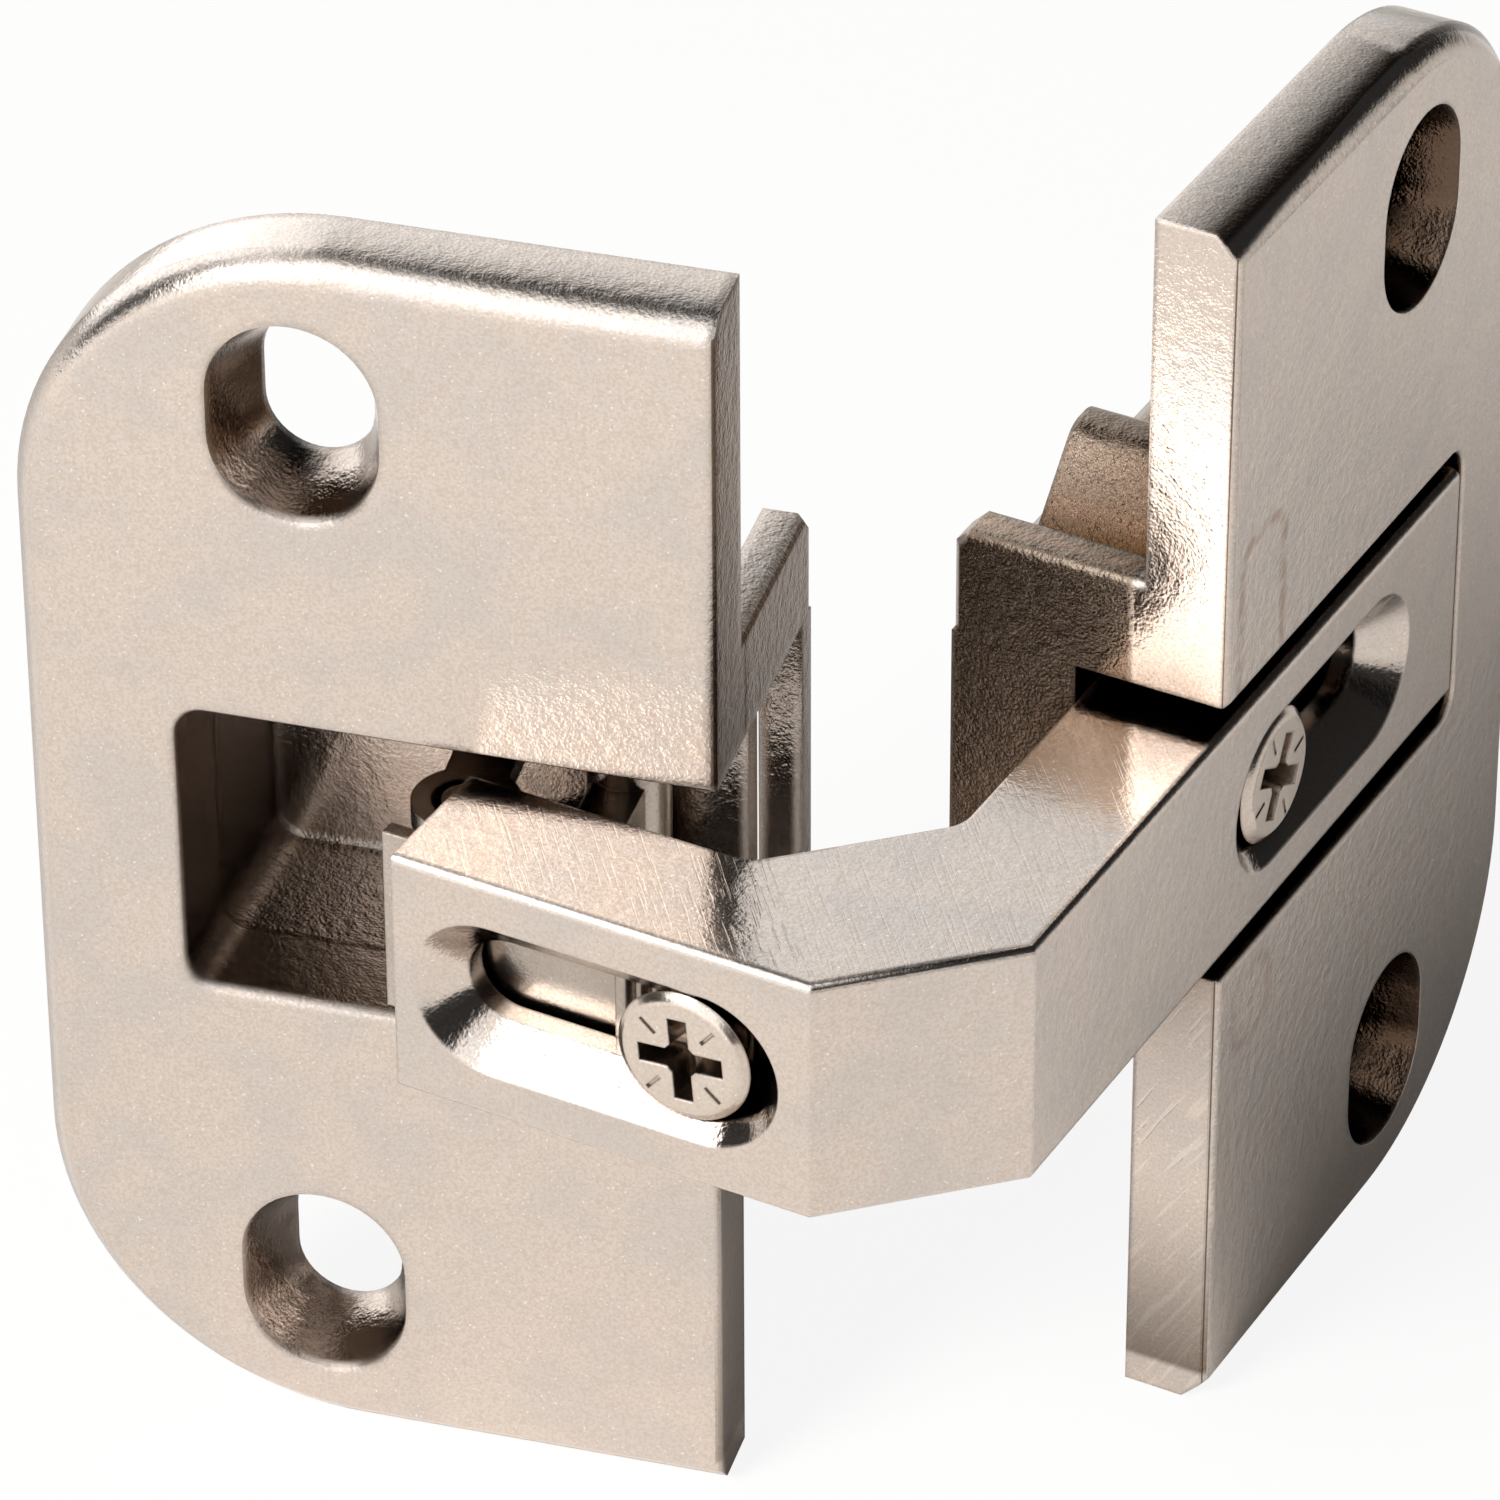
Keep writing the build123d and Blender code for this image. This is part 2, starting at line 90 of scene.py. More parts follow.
@dataclass(frozen=True)
class NodeBench:
    """Adds and joins the nodes of one material.

    Attributes:
        tree: the material's node tree.
    """

    tree: bpy.types.NodeTree

    def add(self, kind: str, **settings: object) -> bpy.types.Node:
        """Adds a node.

        Args:
            kind: Blender's type name of the node.
            settings: properties to set on it.

        Returns:
            The new node.
        """
        node = self.tree.nodes.new(kind)
        for name, value in settings.items():
            setattr(node, name, value)
        return node

    def join(self, source: Socket, target: Socket) -> None:
        """Links one socket to another."""
        self.tree.links.new(source, target)

    def feed(self, source: Socket | float, target: Socket) -> None:
        """Links a socket to another, or sets a number on it.

        Args:
            source: the socket or the number.
            target: the socket that takes it.
        """
        if isinstance(source, (int, float)):
            target.default_value = source
        else:
            self.join(source, target)

    def maths(self, operation: str, first: Socket | float, second: Socket | float = 0.0) -> Socket:
        """Adds one step of arithmetic.

        Args:
            operation: Blender's name of the operation.
            first: its first value.
            second: its second value.

        Returns:
            The result.
        """
        node = self.add("ShaderNodeMath", operation=operation)
        self.feed(first, node.inputs[0])
        self.feed(second, node.inputs[1])
        return node.outputs[0]

    def split(self, vector: Socket) -> dict[Axis, Socket]:
        """Takes a vector apart.

        Args:
            vector: the vector.

        Returns:
            Its part along each axis.
        """
        node = self.add("ShaderNodeSeparateXYZ")
        self.join(vector, node.inputs["Vector"])
        return {axis: node.outputs[axis.value] for axis in Axis}

    def along(self, vector: Socket, way: Triple) -> Socket:
        """Gives a vector's part along one way.

        Args:
            vector: the vector.
            way: the way, of length one.

        Returns:
            The length of the vector along it.
        """
        dot = self.add("ShaderNodeVectorMath", operation="DOT_PRODUCT")
        self.join(vector, dot.inputs[0])
        dot.inputs[1].default_value = way
        return dot.outputs["Value"]

    def noise(self, coordinates: Socket, size: float, octaves: float) -> Socket:
        """Adds a noise of a real grain size.

        Args:
            coordinates: where the noise is read.
            size: width of one grain in metres.
            octaves: steps of finer grain in it.

        Returns:
            The noise's value.
        """
        noise = self.add("ShaderNodeTexNoise")
        noise.inputs["Scale"].default_value = 1.0 / size
        noise.inputs["Detail"].default_value = octaves
        self.join(coordinates, noise.inputs["Vector"])
        return noise.outputs["Fac"]

    def remap(self, value: Socket, source: Span, target: Span) -> Socket:
        """Maps a value from one range to another, smoothly and within limits.

        Args:
            value: the value to map.
            source: its range.
            target: the range that it is given.

        Returns:
            The mapped value.
        """
        ramp = self.add("ShaderNodeMapRange", interpolation_type="SMOOTHSTEP")
        ramp.inputs["From Min"].default_value, ramp.inputs["From Max"].default_value = source
        ramp.inputs["To Min"].default_value, ramp.inputs["To Max"].default_value = target
        self.join(value, ramp.inputs["Value"])
        return ramp.outputs["Result"]

    def blend(self, share: Socket, first: Socket | float, second: Socket | float) -> Socket:
        """Goes from one number to another.

        Args:
            share: how far to go, from 0 to 1.
            first: the number at 0.
            second: the number at 1.

        Returns:
            The number between them.
        """
        mix = self.add("ShaderNodeMix", data_type="FLOAT")
        self.join(share, mix.inputs["Factor"])
        self.feed(first, mix.inputs["A"])
        self.feed(second, mix.inputs["B"])
        return mix.outputs["Result"]

    def tint(self, share: Socket, base: Socket | Triple, colour: Triple) -> Socket:
        """Lays a colour over another.

        Args:
            share: how much of the colour shows.
            base: the colour under it.
            colour: the colour to lay on.

        Returns:
            The mixed colour.
        """
        mix = self.add("ShaderNodeMix", data_type="RGBA")
        self.join(share, mix.inputs["Factor"])
        if isinstance(base, tuple):
            mix.inputs["A"].default_value = (*base, 1.0)
        else:
            self.join(base, mix.inputs["A"])
        mix.inputs["B"].default_value = (*colour, 1.0)
        return mix.outputs["Result"]


@dataclass(frozen=True)
class Mottle:
    """Marks of one kind that are strewn over the plating.

    Attributes:
        size: width of one mark in metres.
        octaves: steps of finer marks in it.
        edge: values of the noise where a mark starts and where it is full.
        share: how much of its colour shows.
    """

    size: float
    octaves: float
    edge: Span = (0.0, 1.0)
    share: float = 1.0

    def noise(self, bench: NodeBench, place: Socket) -> Socket:
        """Gives the noise that the marks are cut from."""
        return bench.noise(place, self.size, self.octaves)

    def cover(self, bench: NodeBench, noise: Socket) -> Socket:
        """Gives the marks' share of the colour from their noise."""
        return bench.remap(noise, self.edge, (0.0, self.share))


CLOUDS = Mottle(3.5 * MILLIMETRE, 5.0, (0.4, 0.66), 0.9)
FLECKS = Mottle(0.4 * MILLIMETRE, 3.0, (0.56, 0.74), 0.3)
GRAIN = Mottle(0.14 * MILLIMETRE, 2.5, (0.38, 0.66), 0.5)
# Painted glints: specks of near-white colour
PAINTED_GLINTS = Mottle(0.13 * MILLIMETRE, 1.0, (0.69, 0.76), 0.8)
RIPPLES = Mottle(0.55 * MILLIMETRE, 2.0)


@dataclass(frozen=True)
class Residue:
    """The outline that a small rounded patch left on the right plate's front.

    Attributes:
        centre: middle of the patch along the plate and up, in metres.
        half: half its width and height.
        corner: radius of its corners.
        line: width of its edge.
        strength: how much the edge shows.
        gap_size: width of the worn gaps in the edge.
        gap_edge: values of the noise where a gap ends and where the edge is whole.
        gap_share: how much of the edge is left in a gap, and where it is whole.
    """

    centre: Span
    half: Span
    corner: float
    line: float
    strength: float
    gap_size: float = 1.2 * MILLIMETRE
    gap_edge: Span = (0.35, 0.6)
    gap_share: Span = (0.25, 1.0)

    def share(self, bench: NodeBench, place: Socket) -> Socket:
        """Works out where the edge shows.

        Args:
            bench: the material's nodes.
            place: where the surface is.

        Returns:
            The edge's share, from 0 to its strength.
        """
        parts = bench.split(place)
        squares = []
        for axis, middle, half in zip((Axis.ALONG, Axis.UP), self.centre, self.half):
            offset = bench.maths("ABSOLUTE", bench.maths("SUBTRACT", parts[axis], middle))
            side = bench.maths("MAXIMUM", bench.maths("SUBTRACT", offset, half - self.corner), 0.0)
            squares.append(bench.maths("MULTIPLY", side, side))
        reach = bench.maths("SQRT", bench.maths("ADD", *squares))
        away = bench.maths("ABSOLUTE", bench.maths("SUBTRACT", reach, self.corner))
        edge = bench.remap(away, (0.0, self.line), (self.strength, 0.0))
        whole = bench.remap(bench.noise(place, self.gap_size, 2.0), self.gap_edge, self.gap_share)
        return bench.maths("MULTIPLY", edge, whole)


@dataclass(frozen=True)
class Scratches:
    """Fine lines that run one way across part of a face.

    Attributes:
        low: lowest corner of the scratched box, in metres.
        high: its highest corner.
        turn: how the lines are turned, in degrees about each axis.
        spacing: mean distance between lines.
        length: mean length of a line.
        depth: depth of a line.
        colour: colour of the metal in a line.
        strength: how much of that colour shows.
        edge: values of the noise where a line starts and where it is full.
        fade: half the width of the fringe where the lines fade out.
    """

    low: Triple
    high: Triple
    turn: Triple
    spacing: float
    length: float
    depth: float
    colour: Triple
    strength: float
    edge: Span = (0.58, 0.68)
    fade: float = 0.8 * MILLIMETRE

    def share(self, bench: NodeBench, place: Socket) -> Socket:
        """Works out where the lines are.

        Args:
            bench: the material's nodes.
            place: where the surface is.

        Returns:
            One in a line, zero between the lines.
        """
        stretch = bench.add("ShaderNodeMapping", vector_type="TEXTURE")
        stretch.inputs["Rotation"].default_value = tuple(radians(angle) for angle in self.turn)
        stretch.inputs["Scale"].default_value = (1.0, 1.0, self.length / self.spacing)
        bench.join(place, stretch.inputs["Vector"])
        share = bench.remap(bench.noise(stretch.outputs["Vector"], self.spacing, 1.0), self.edge, (0.0, 1.0))
        for part, low, high in zip(bench.split(place).values(), self.low, self.high):
            above = bench.remap(part, (low - self.fade, low + self.fade), (0.0, 1.0))
            below = bench.remap(part, (high - self.fade, high + self.fade), (1.0, 0.0))
            share = bench.maths("MULTIPLY", share, bench.maths("MULTIPLY", above, below))
        return share


@dataclass(frozen=True)
class Skin:
    """What a finish knows of each point of its surface.

    Attributes:
        place: where the point is, in the part's frame.
        normal: the way that its face looks, in the same frame.
        ground: one on ground faces, zero on faces left as cast.
        behind: one behind the seat face, zero in front of it.
        clouds: the noise of the faint clouds.
        grain: the noise of the pitted grain.
        lines: where each set of scratches runs.
    """

    place: Socket
    normal: Socket
    ground: Socket
    behind: Socket
    clouds: Socket
    grain: Socket
    lines: tuple[Socket, ...]


@dataclass(frozen=True)
class PlatedFinish:
    """A plated casting: satin on its ground faces, bright and pitted where it is left as cast.

    Attributes:
        name: the material's name.
        colour: the plating's colour.
        cloud: colour of the faint clouds in it.
        fleck: colour of the small tan flecks and of the grain.
        satin: lowest and highest roughness of the ground faces.
        bright: roughness of the faces left as cast.
        grounds: ways that the ground faces look.
        rim: height beyond which the top and bottom edges are ground too.
        fine: depth of the grain on ground faces, in metres.
        coarse: depth of the grain on faces left as cast.
        back_coarse: how many times deeper the grain is behind the seat face.
        ripple_depth: depth of the ripples, as a share of the grain's.
        edge_round: radius that sharp edges are shaded with.
        front: the way that the piece's front looks.
        seat: how far along it the face against the cupboard lies; by default nothing is behind it.
        back_shade_share: how much painted shade darkens the casting's shadowed back behind the seat face.
        shaded_end: the way that an end face looks which is darkened with painted shade, a painted dark
            reflection, if there is one.
        end_shade_height: heights where this painted shade is weakest and where it is full.
        end_shade_share: how much of it shows there.
        corner: how open the corners are, from those with the darkest painted shade to those with none.
        corner_reach: how far away the walls of a corner may be.
        corner_shade: how much painted shade darkens deep corners.
        countersink_shade: how much painted shade darkens the sloping walls of the countersinks.
        residues: outlines of patches on it.
        scratches: scratched parts of it.
    """

    name: str
    colour: Triple = NICKEL
    cloud: Triple = NICKEL_CLOUD
    fleck: Triple = NICKEL_FLECK
    satin: Span = (0.11, 0.15)
    bright: float = 0.10
    grounds: tuple[Triple, ...] = ()
    rim: float = 26.4 * MILLIMETRE
    fine: float = 0.016 * MILLIMETRE
    coarse: float = 0.018 * MILLIMETRE
    back_coarse: float = 2.2
    ripple_depth: float = 1.5
    edge_round: float = 0.14 * MILLIMETRE
    front: Triple = UPWARD
    seat: float = -1.0
    back_shade_share: float = 0.85
    shaded_end: Triple | None = None
    end_shade_height: Span = metres(-12.0, 8.0)
    end_shade_share: Span = (0.2, 0.85)
    corner: Span = (0.2, 0.75)
    corner_reach: float = 11.0 * MILLIMETRE
    corner_shade: float = 1.0
    countersink_shade: float = 0.0
    residues: tuple[Residue, ...] = ()
    scratches: tuple[Scratches, ...] = ()

    def ground(self, bench: NodeBench, place: Socket, normal: Socket) -> Socket:
        """Works out how far a face is ground.

        Args:
            bench: the material's nodes.
            place: where the surface is.
            normal: the way that its face looks.

        Returns:
            One on ground faces, zero on the others.
        """
        height = bench.maths("ABSOLUTE", bench.along(place, UPWARD))
        fringe = 0.4 * MILLIMETRE
        nearly_facing = (0.88, 0.97)
        share = bench.remap(height, (self.rim, self.rim + fringe), (0.0, 1.0))
        for way in self.grounds:
            facing = bench.remap(bench.along(normal, way), nearly_facing, (0.0, 1.0))
            share = bench.maths("MAXIMUM", facing, share)
        return share

    def survey(self, bench: NodeBench) -> Skin:
        """Works out what the colour, the roughness and the relief all need.

        Args:
            bench: the material's nodes.

        Returns:
            What is known of each point of the surface.
        """
        surface = bench.add("ShaderNodeTexCoord")
        place, normal = surface.outputs["Object"], surface.outputs["Normal"]
        fringe = 0.4 * MILLIMETRE
        depth = bench.along(place, self.front)
        return Skin(
            place=place,
            normal=normal,
            ground=self.ground(bench, place, normal),
            behind=bench.remap(depth, (self.seat - 2 * fringe, self.seat - fringe), (1.0, 0.0)),
            clouds=CLOUDS.noise(bench, place),
            grain=GRAIN.noise(bench, place),
            lines=tuple(mark.share(bench, place) for mark in self.scratches),
        )

    def plating(self, bench: NodeBench, skin: Skin) -> Socket:
        """Mixes the plating's own colours and lays painted glints over them.

        Args:
            bench: the material's nodes.
            skin: what is known of the surface.

        Returns:
            The colour with its clouds, flecks and grain, and with painted glints.
        """
        flecks = FLECKS.noise(bench, skin.place)
        glints = PAINTED_GLINTS.noise(bench, skin.place)
        paint = bench.tint(CLOUDS.cover(bench, skin.clouds), self.colour, self.cloud)
        paint = bench.tint(FLECKS.cover(bench, flecks), paint, self.fleck)
        paint = bench.tint(GRAIN.cover(bench, skin.grain), paint, self.fleck)
        return bench.tint(PAINTED_GLINTS.cover(bench, glints), paint, PAINTED_GLINT)

    def shade_and_wear(self, bench: NodeBench, skin: Skin, paint: Socket) -> Socket:
        """Lays the painted shade of the back and of a shaded end face, the stains and the scratches over a
        colour.

        Args:
            bench: the material's nodes.
            skin: what is known of the surface.
            paint: the colour under them.

        Returns:
            The worn colour.
        """
        # Painted shade: the shadowed back behind the seat face is darkened in colour
        paint = bench.tint(bench.maths("MULTIPLY", skin.behind, self.back_shade_share), paint, BACK_SHADE)
        # Painted shade: an end face is darkened in colour as a painted dark reflection, changing with height
        if self.shaded_end is not None:
            nearly_facing = (0.75, 0.9)
            facing = bench.remap(bench.along(skin.normal, self.shaded_end), nearly_facing, (0.0, 1.0))
            fading = bench.remap(bench.along(skin.place, UPWARD), self.end_shade_height, self.end_shade_share)
            paint = bench.tint(bench.maths("MULTIPLY", facing, fading), paint, END_SHADE)
        for residue in self.residues:
            paint = bench.tint(residue.share(bench, skin.place), paint, STAIN)
        for mark, share in zip(self.scratches, skin.lines):
            paint = bench.tint(bench.maths("MULTIPLY", share, mark.strength), paint, mark.colour)
        return paint

    def shade_corners(self, bench: NodeBench, skin: Skin, paint: Socket) -> Socket:
        """Lays painted shade in deep corners and on the sloping walls of the countersinks over a colour.

        Args:
            bench: the material's nodes.
            skin: what is known of the surface.
            paint: the colour under it.

        Returns:
            The grimy colour.
        """
        # Painted shade: the colour goes towards near-black where the surroundings close in, in corners,
        # recesses and between parts
        corners = bench.add("ShaderNodeAmbientOcclusion", samples=2)
        corners.inputs["Distance"].default_value = self.corner_reach
        hidden = bench.remap(corners.outputs["AO"], self.corner, (self.corner_shade, 0.0))
        deep = bench.maths("MULTIPLY", hidden, bench.maths("SUBTRACT", 1.0, skin.ground))
        paint = bench.tint(deep, paint, PAINTED_SHADE)
        # Painted shade on the countersinks' sloping walls, picked out by how far their faces turn from the
        # front
        wall_starts, wall_ends = (0.2, 0.3), (0.45, 0.55)
        slope = bench.along(skin.normal, self.front)
        steep = bench.remap(slope, wall_starts, (0.0, self.countersink_shade))
        sloping = bench.maths("MULTIPLY", steep, bench.remap(slope, wall_ends, (1.0, 0.0)))
        return bench.tint(sloping, paint, PAINTED_SHADE)

    def roughness(self, bench: NodeBench, skin: Skin) -> Socket:
        """Gives ground faces a cloudy satin and the others a plain brightness.

        Args:
            bench: the material's nodes.
            skin: what is known of the surface.

        Returns:
            The roughness.
        """
        cloudy = (0.3, 0.7)
        return bench.blend(skin.ground, self.bright, bench.remap(skin.clouds, cloudy, self.satin))

    def relief(self, bench: NodeBench, skin: Skin) -> Socket:
        """Raises the grain and the ripples, sinks the scratches and rounds the edges.

        Args:
            bench: the material's nodes.
            skin: what is known of the surface.

        Returns:
            The normal that the light meets.
        """
        ripples = bench.maths("MULTIPLY", RIPPLES.noise(bench, skin.place), self.ripple_depth)
        cast = bench.blend(skin.behind, self.coarse, self.back_coarse * self.coarse)
        depth = bench.blend(skin.ground, cast, self.fine)
        height = bench.maths("MULTIPLY", bench.maths("ADD", skin.grain, ripples), depth)
        for mark, share in zip(self.scratches, skin.lines):
            height = bench.maths("SUBTRACT", height, bench.maths("MULTIPLY", share, mark.depth))
        rounded = bench.add("ShaderNodeBevel", samples=3)
        rounded.inputs["Radius"].default_value = self.edge_round
        bump = bench.add("ShaderNodeBump")
        bump.inputs["Strength"].default_value = 1.0
        bump.inputs["Distance"].default_value = 1.0
        bench.join(height, bump.inputs["Height"])
        bench.join(rounded.outputs["Normal"], bump.inputs["Normal"])
        return bump.outputs["Normal"]

    def material(self) -> bpy.types.Material:
        """Makes the material.

        Returns:
            The new material.
        """
        material = bpy.data.materials.new(self.name)
        material.use_nodes = True
        bench = NodeBench(material.node_tree)
        shader = material.node_tree.nodes["Principled BSDF"]
        shader.inputs["Metallic"].default_value = 1.0
        skin = self.survey(bench)
        paint = self.shade_corners(bench, skin, self.shade_and_wear(bench, skin, self.plating(bench, skin)))
        bench.join(paint, shader.inputs["Base Color"])
        bench.join(self.roughness(bench, skin), shader.inputs["Roughness"])
        bench.join(self.relief(bench, skin), shader.inputs["Normal"])
        return material


UPPER_RESIDUE = Residue(
    centre=metres(-13.9, 9.6),
    half=metres(1.9, 3.9),
    corner=1.2 * MILLIMETRE,
    line=0.5 * MILLIMETRE,
    strength=0.8,
)
LOWER_RESIDUE = Residue(
    centre=metres(-13.7, -9.4),
    half=metres(1.6, 1.7),
    corner=0.8 * MILLIMETRE,
    line=0.55 * MILLIMETRE,
    strength=0.5,
)
END_SCRATCHES = Scratches(
    low=metres(-1.0, -17.2, -29.0),
    high=metres(4.2, -16.4, -8.0),
    turn=(0.0, 32.0, 0.0),
    spacing=0.26 * MILLIMETRE,
    length=3.0 * MILLIMETRE,
    depth=0.010 * MILLIMETRE,
    colour=SCRATCH,
    strength=0.6,
)
ARM_SCRATCHES = Scratches(
    low=metres(-20.0, -41.0, 5.0),
    high=metres(4.5, -10.0, 6.0),
    turn=(90.0, 0.0, 40.0),
    spacing=0.11 * MILLIMETRE,
    length=2.5 * MILLIMETRE,
    depth=0.003 * MILLIMETRE,
    colour=NICKEL_FLECK,
    strength=0.15,
)
RIGHT_CASTING = PlatedFinish(
    "right_cast_nickel",
    grounds=(RIGHT_FRONT,),
    edge_round=0.3 * MILLIMETRE,
    front=RIGHT_FRONT,
    # Behind this seat the back gets the default strong painted shade
    seat=0.0,
    corner=(0.45, 0.98),
    # The countersinks' sloping walls get painted shade
    countersink_shade=0.8,
    residues=(UPPER_RESIDUE, LOWER_RESIDUE),
    scratches=(END_SCRATCHES,),
)
LEFT_CASTING = PlatedFinish(
    "left_cast_nickel",
    grounds=(LEFT_FRONT,),
    edge_round=0.65 * MILLIMETRE,
    front=LEFT_FRONT,
    seat=24.524 * MILLIMETRE,
    # Light painted shade on the back behind the seat face
    back_shade_share=0.15,
    # The inner end face gets painted shade
    shaded_end=LEFT_INWARD,
    corner=(0.28, 0.74),
)
ARM_CASTING = PlatedFinish(
    "arm_cast_nickel",
    grounds=(RIGHT_FRONT, BEND_FRONT, ARM_LEFT_FRONT, UPWARD),
    fine=0.008 * MILLIMETRE,
    coarse=0.014 * MILLIMETRE,
    edge_round=0.2 * MILLIMETRE,
    corner=(0.28, 0.82),
    scratches=(ARM_SCRATCHES,),
)
SCREW_PLATING = PlatedFinish(
    "screw_plating",
    colour=(0.72, 0.645, 0.575),
    cloud=(0.68, 0.60, 0.53),
    fleck=(0.60, 0.50, 0.42),
    satin=(0.18, 0.22),
    bright=0.18,
    coarse=0.004 * MILLIMETRE,
    # Less painted shade in the screws' corners
    corner_shade=0.6,
)
LINK_PLATING = PlatedFinish(
    "link_plating",
    colour=(0.68, 0.62, 0.56),
    cloud=(0.60, 0.54, 0.48),
    fleck=(0.50, 0.43, 0.37),
    satin=(0.24, 0.32),
    bright=0.24,
    coarse=0.008 * MILLIMETRE,
)


def dress_node(name: str, material: bpy.types.Material, crease: float) -> None:
    """Gives a CAD node a finish, with its bevels shaded as rounds.

    Args:
        name: the node's name.
        material: its finish.
        crease: edges that turn by more than this, in degrees, stay sharp.
    """
    weld_gap = 0.001 * MILLIMETRE
    flat_angle = 0.5
    large_faces_lead = 100
    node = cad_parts[name]
    node.data.materials.clear()
    node.data.materials.append(material)
    weld = node.modifiers.new("joined_faces", "WELD")
    weld.merge_threshold = weld_gap
    flats = node.modifiers.new("whole_flats", "DECIMATE")
    flats.decimate_type = "DISSOLVE"
    flats.angle_limit = radians(flat_angle)
    split = node.modifiers.new("sharp_edges", "EDGE_SPLIT")
    split.split_angle = radians(crease)
    split.use_edge_sharp = False
    shade = node.modifiers.new("round_shading", "WEIGHTED_NORMAL")
    shade.mode = "FACE_AREA"
    shade.weight = large_faces_lead
    LOG.info("dressed %s in %s", name, material.name)


@dataclass
class HingeSide:
    """One plate with the links, pins, carrier and clamp screw that belong to it.

    Attributes:
        hand: which side it is.
        plate: finish of the cast plate.
        screw: finish of the clamp screw.
        works: finish of the links, pins and carrier.
        works_names: the hidden pieces of this side.
        crease: edges of the plate and screw that turn by more than this, in degrees, stay sharp.
        works_crease: the same for the links, pins and carrier.
    """

    hand: Hand
    plate: bpy.types.Material
    screw: bpy.types.Material
    works: bpy.types.Material
    works_names: tuple[str, ...] = (
        "carrier",
        "inner_link",
        "outer_link_upper",
        "outer_link_lower",
        "inner_housing_pin",
        "outer_housing_pin_upper",
        "outer_housing_pin_lower",
        "inner_carrier_pin",
        "outer_carrier_pin",
    )
    crease: float = 50.0
    works_crease: float = 30.0

    def dress(self) -> None:
        """Gives each node of this side its finish."""
        side = self.hand.value
        dress_node(f"{side}_plate", self.plate, self.crease)
        dress_node(f"{side}_clamp_screw", self.screw, self.crease)
        for name in self.works_names:
            dress_node(f"{side}_{name}", self.works, self.works_crease)


@dataclass
class BentArm:
    """The cast arm between the two plates.

    Attributes:
        casting: its finish.
        crease: edges that turn by more than this, in degrees, stay sharp.
    """

    casting: bpy.types.Material
    crease: float = 30.0

    def dress(self) -> None:
        """Gives the arm its finish."""
        dress_node("arm", self.casting, self.crease)


@dataclass(frozen=True)
class SoftBox:
    """A rectangular soft light.

    Attributes:
        name: the lamp's name.
        place: where it stands, in metres.
        size: width and height in metres.
        power: in watts.
        mirrored: whether the metal shows it.
        aim: the point that it faces, by default the middle of the hinge.
    """

    name: str
    place: Triple
    size: Span
    power: float
    mirrored: bool
    aim: Triple = (-0.01, -0.02, 0.0)

    def build(self) -> bpy.types.Object:
        """Makes the lamp.

        Returns:
            The lamp's object.
        """
        lamp = bpy.data.lights.new(self.name, "AREA")
        lamp.shape = "RECTANGLE"
        lamp.size, lamp.size_y = self.size
        lamp.energy = self.power
        obj = bpy.data.objects.new(self.name, lamp)
        bpy.context.scene.collection.objects.link(obj)
        away = Vector(self.place) - Vector(self.aim)
        obj.location = self.place
        obj.rotation_euler = away.to_track_quat("Z", "Y").to_euler()
        obj.visible_glossy = self.mirrored
        LOG.info("hung %s", self.name)
        return obj


@dataclass(frozen=True)
class Fade:
    """A smooth change of the surroundings' light along one axis.

    Attributes:
        axis: the axis.
        span: where on a ball of radius one the change starts and ends.
        light: the light's strength before and after it.
    """

    axis: Axis
    span: Span
    light: Span


BACK_WALL = (
    Fade(Axis.ACROSS, (-1.0, 0.15), (2.2, 0.03)),
    Fade(Axis.ALONG, (-0.15, 0.15), (0.03, 1.0)),
    Fade(Axis.UP, (0.76, 0.96), (1.0, 0.05)),
)
FRONT_WINDOW = (
    Fade(Axis.ALONG, (-0.3, -0.02), (1.75, 0.0)),
    Fade(Axis.ACROSS, (-0.62, -0.48), (0.0, 1.0)),
    Fade(Axis.ACROSS, (0.2, 0.45), (1.0, 0.03)),
)
KEY_BOX = SoftBox("key_box", (-0.27, -0.46, 0.35), (0.36, 0.26), 1.1, mirrored=True)
FLOOR_BOX = SoftBox("floor_box", (-0.37, -1.12, 0.82), (0.55, 0.55), 30.0, mirrored=False)


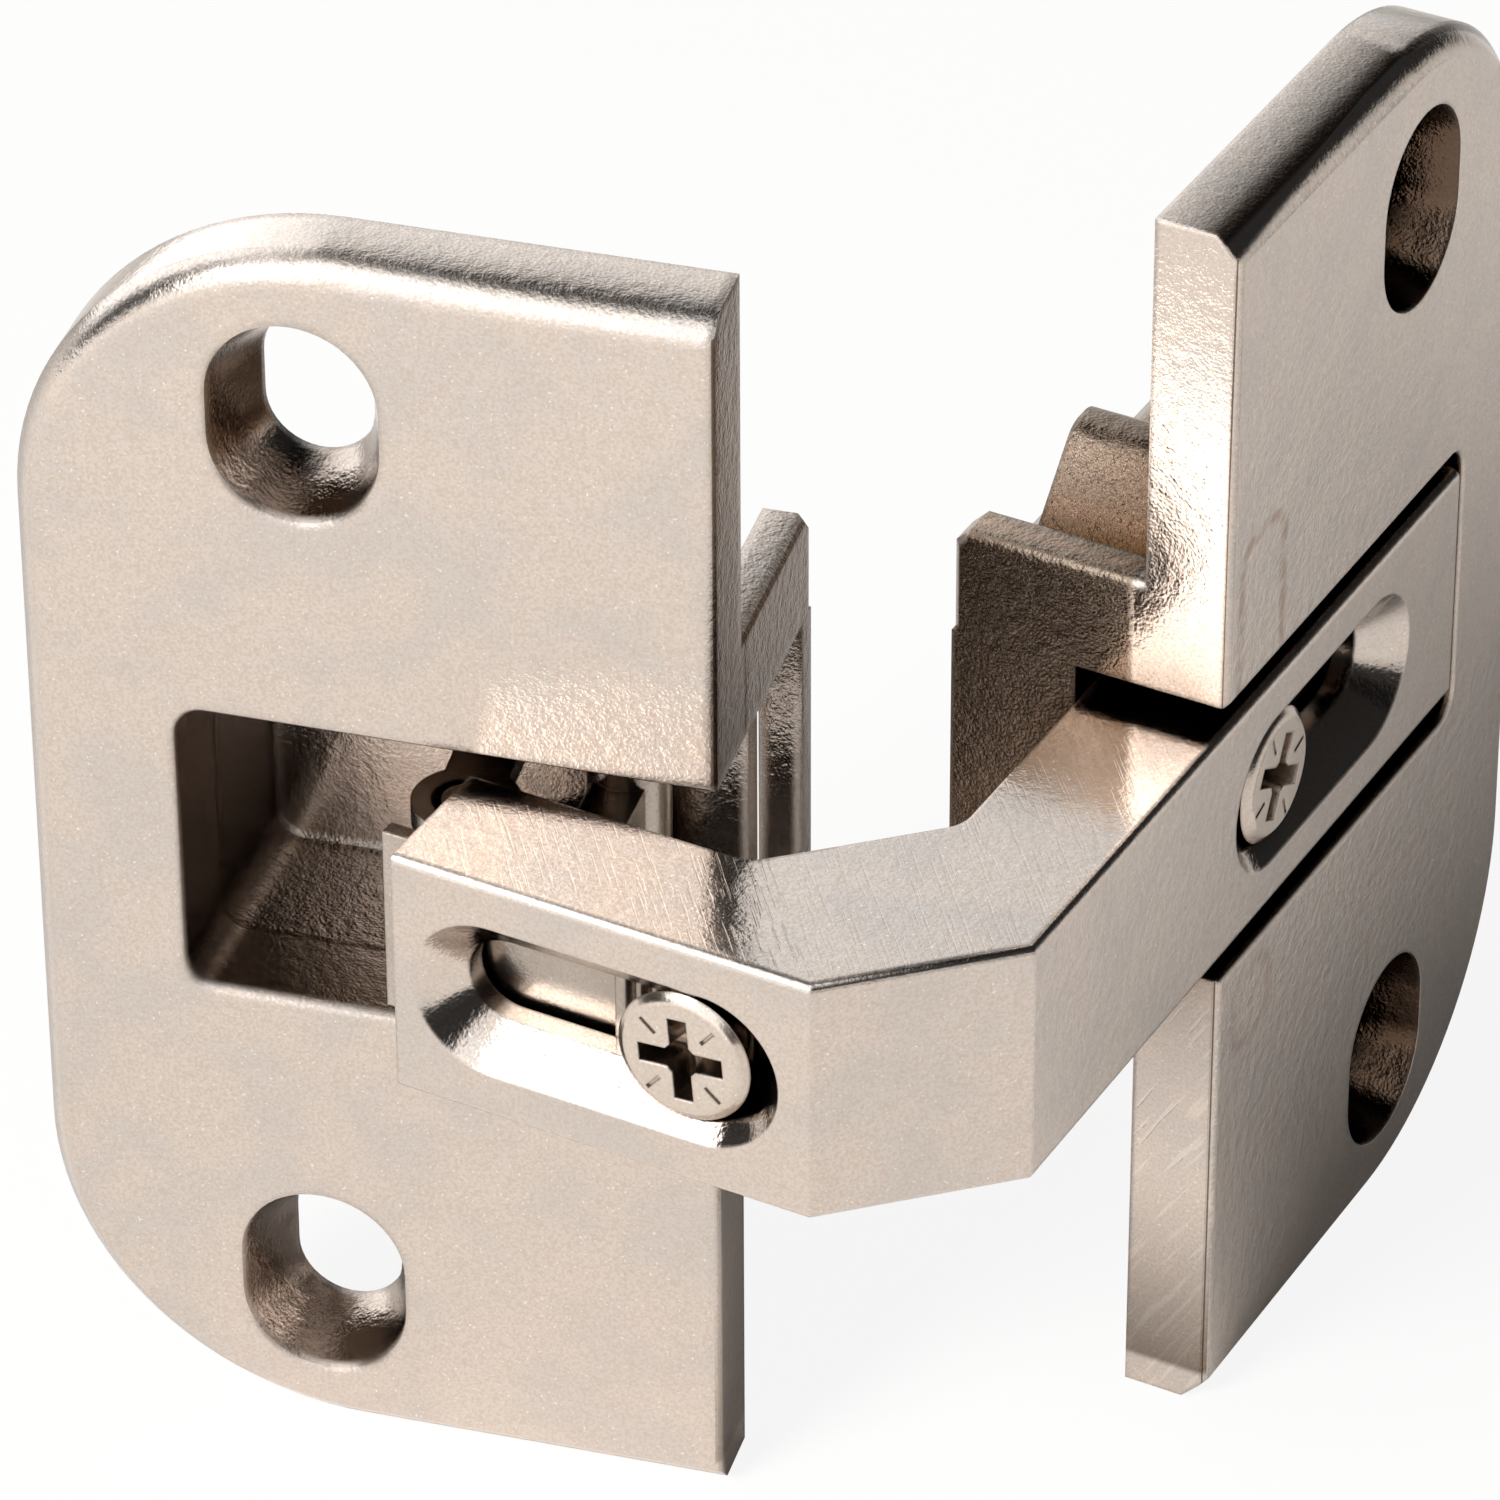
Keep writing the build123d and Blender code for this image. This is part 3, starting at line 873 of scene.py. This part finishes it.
@dataclass
class Studio:
    """The pale floor, the soft lights, the surroundings and the camera.

    Attributes:
        floor_width: width of the floor in metres.
        floor_colour: colour of the floor.
        floor_roughness: roughness of the floor.
        seen_white: share of plain white that the eye sees in the floor.
        mirrored_white: share of plain white that the metal sees in it.
        room_light: share of the surroundings' light that falls on the floor.
        lights: the bright parts of the surroundings.
        lamps: the soft lights.
        lens: focal length in millimetres.
        sensor: width of the camera's picture in millimetres.
        near: how near the camera sees, in metres.
        eye: where the camera stands, in metres.
        sight: the way that it looks.
        right: the way to the picture's right.
    """

    floor_width: float = 6.0
    floor_colour: Triple = (0.88, 0.84, 0.80)
    floor_roughness: float = 0.9
    seen_white: float = 0.9
    mirrored_white: float = 0.05
    room_light: float = 0.15
    lights: tuple[tuple[Fade, ...], ...] = (BACK_WALL, FRONT_WINDOW)
    lamps: tuple[SoftBox, ...] = (KEY_BOX, FLOOR_BOX)
    lens: float = 212.93
    sensor: float = 36.0
    near: float = 0.01
    eye: Triple = (0.125667, -0.279031, 0.201318)
    sight: Triple = (-0.3964389, 0.7253199, -0.5628030)
    right: Triple = (0.8785371, 0.4776632, -0.0032474)

    def floor_material(self) -> bpy.types.Material:
        """Makes the floor's finish, nearly white to the eye and dark to the metal.

        Returns:
            The new material.
        """
        material = bpy.data.materials.new("pale_floor")
        material.use_nodes = True
        bench = NodeBench(material.node_tree)
        shader = material.node_tree.nodes["Principled BSDF"]
        shader.inputs["Base Color"].default_value = (*self.floor_colour, 1.0)
        shader.inputs["Roughness"].default_value = self.floor_roughness
        glow = bench.add("ShaderNodeEmission")
        glow.inputs["Strength"].default_value = 1.0
        path = bench.add("ShaderNodeLightPath")
        seen = bench.maths("MULTIPLY", path.outputs["Is Camera Ray"], self.seen_white)
        mirrored = bench.maths("MULTIPLY", path.outputs["Is Glossy Ray"], self.mirrored_white)
        through = bench.maths("MULTIPLY", path.outputs["Is Transmission Ray"], self.mirrored_white)
        share = bench.maths("MAXIMUM", bench.maths("MAXIMUM", seen, mirrored), through)
        mix = bench.add("ShaderNodeMixShader")
        bench.join(share, mix.inputs["Fac"])
        bench.join(shader.outputs["BSDF"], mix.inputs[1])
        bench.join(glow.outputs["Emission"], mix.inputs[2])
        bench.join(mix.outputs["Shader"], material.node_tree.nodes["Material Output"].inputs["Surface"])
        return material

    def build_floor(self) -> None:
        """Lays a pale floor under the hinge, with the hinge's faint shadow."""
        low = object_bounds()[0].z
        half = self.floor_width / 2
        mesh = bpy.data.meshes.new("floor")
        corners = [(-half, -half, low), (half, -half, low), (half, half, low), (-half, half, low)]
        mesh.from_pydata(corners, [], [(0, 1, 2, 3)])
        mesh.materials.append(self.floor_material())
        floor = bpy.data.objects.new("floor", mesh)
        bpy.context.scene.collection.objects.link(floor)
        floor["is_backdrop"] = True

    def build_world(self) -> None:
        """Makes the surroundings: white to the eye, a bright wall and a window to the metal."""
        world = bpy.data.worlds.new("studio")
        bpy.context.scene.world = world
        world.use_nodes = True
        bench = NodeBench(world.node_tree)
        parts = bench.split(bench.add("ShaderNodeTexCoord").outputs["Generated"])
        room: Socket | float = 0.0
        for fades in self.lights:
            light: Socket | float = 1.0
            for fade in fades:
                light = bench.maths("MULTIPLY", bench.remap(parts[fade.axis], fade.span, fade.light), light)
            room = bench.maths("MAXIMUM", light, room)
        path = bench.add("ShaderNodeLightPath")
        mirrored = bench.maths("MAXIMUM", path.outputs["Is Glossy Ray"], path.outputs["Is Transmission Ray"])
        room = bench.maths("MULTIPLY", room, bench.blend(mirrored, self.room_light, 1.0))
        seen = bench.maths("MAXIMUM", room, path.outputs["Is Camera Ray"])
        bench.join(seen, world.node_tree.nodes["Background"].inputs["Color"])

    def build_camera(self) -> None:
        """Stands the camera where the photograph was taken from."""
        data = bpy.data.cameras.new("camera")
        data.lens = self.lens
        data.sensor_width = self.sensor
        data.clip_start = self.near
        camera = bpy.data.objects.new("camera", data)
        bpy.context.scene.collection.objects.link(camera)
        right, sight = Vector(self.right).normalized(), Vector(self.sight).normalized()
        up = right.cross(sight)
        turn = Matrix((right, up, -sight)).transposed()
        camera.matrix_world = Matrix.Translation(Vector(self.eye)) @ turn.to_4x4()
        bpy.context.scene.camera = camera

    def build(self) -> None:
        """Builds the whole studio."""
        self.build_floor()
        self.build_world()
        for lamp in self.lamps:
            lamp.build()
        self.build_camera()
        bpy.context.scene.view_settings.view_transform = "Standard"


def main() -> None:
    """Dresses the hinge piece by piece, then builds its studio."""
    logging.basicConfig(level=logging.INFO)
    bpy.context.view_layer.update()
    screw, works = SCREW_PLATING.material(), LINK_PLATING.material()
    HingeSide(Hand.RIGHT, RIGHT_CASTING.material(), screw, works).dress()
    HingeSide(Hand.LEFT, LEFT_CASTING.material(), screw, works).dress()
    BentArm(ARM_CASTING.material()).dress()
    Studio().build()


if __name__ == "__main__":
    main()
